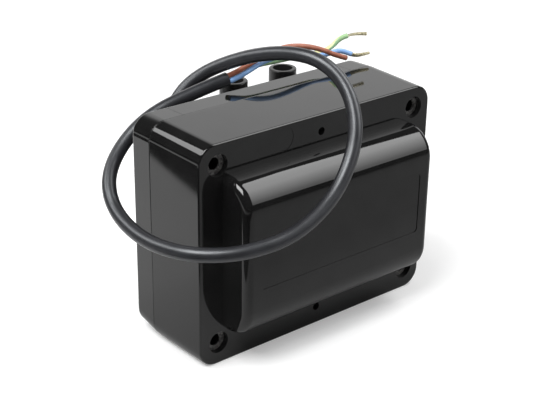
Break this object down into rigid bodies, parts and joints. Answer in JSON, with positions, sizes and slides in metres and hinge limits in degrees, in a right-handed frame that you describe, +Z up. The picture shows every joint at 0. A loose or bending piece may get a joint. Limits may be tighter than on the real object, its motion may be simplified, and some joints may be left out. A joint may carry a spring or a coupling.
{
  "type": "ignition transformer",
  "caption": "Moulded black ignition transformer with a raised front, corner fixing holes, high-voltage sockets behind the top edge and a looped mains cord with stripped ends.",
  "frame": {"origin": "under the middle of the case, on the surface it stands on", "axes": "+X along the long side, to the right seen from the front; the hump faces -Y; +Z up"},
  "size_m": [0.1548, 0.1022, 0.1283],
  "materials": {
    "case": "glossy black moulded thermoset",
    "socket": "satin black moulded insulator",
    "gland": "matt black",
    "cord_sheath": "matt dark grey PVC sheath",
    "wire_brown": "brown PVC insulation",
    "wire_blue": "light blue PVC insulation",
    "wire_green": "green and yellow striped PVC insulation",
    "strands": "bare stranded conductor",
    "contact": "turned brass",
    "core_iron": "stacked electrical steel sheet",
    "bobbin": "moulded polyamide",
    "winding": "enamelled wire",
    "wrap": "insulating tape",
    "hv_lead": "silicone lead",
    "tag": "tinned brass",
    "screw": "zinc plated"
  },
  "bodies": {
    "root": {"front_shell": "case", "back_shell": "case", "terminal_carrier": "case", "hv_socket_left": "socket", "hv_socket_right": "socket", "cord_gland": "gland", "mains_cord": "cord_sheath", "wire_brown": "wire_brown", "wire_blue": "wire_blue", "wire_green_yellow": "wire_green", "strands_blue": "strands", "strands_green_yellow": "strands", "hv_contact_left": "contact", "hv_contact_right": "contact", "iron_core_e": "core_iron", "iron_core_i": "core_iron", "magnetic_shunt_upper_left": "core_iron", "magnetic_shunt_upper_right": "core_iron", "magnetic_shunt_lower_left": "core_iron", "magnetic_shunt_lower_right": "core_iron", "primary_bobbin": "bobbin", "secondary_bobbin_left": "bobbin", "secondary_bobbin_right": "bobbin", "primary_winding": "winding", "secondary_winding_left": "winding", "secondary_winding_right": "winding", "primary_wrap": "wrap", "secondary_wrap_left": "wrap", "secondary_wrap_right": "wrap", "hv_lead_left": "hv_lead", "hv_lead_right": "hv_lead", "primary_lead_brown": "wire_brown", "primary_lead_blue": "wire_blue", "earth_lead": "wire_green", "earth_tag": "tag", "earth_screw": "screw"}
  },
  "joints": []
}
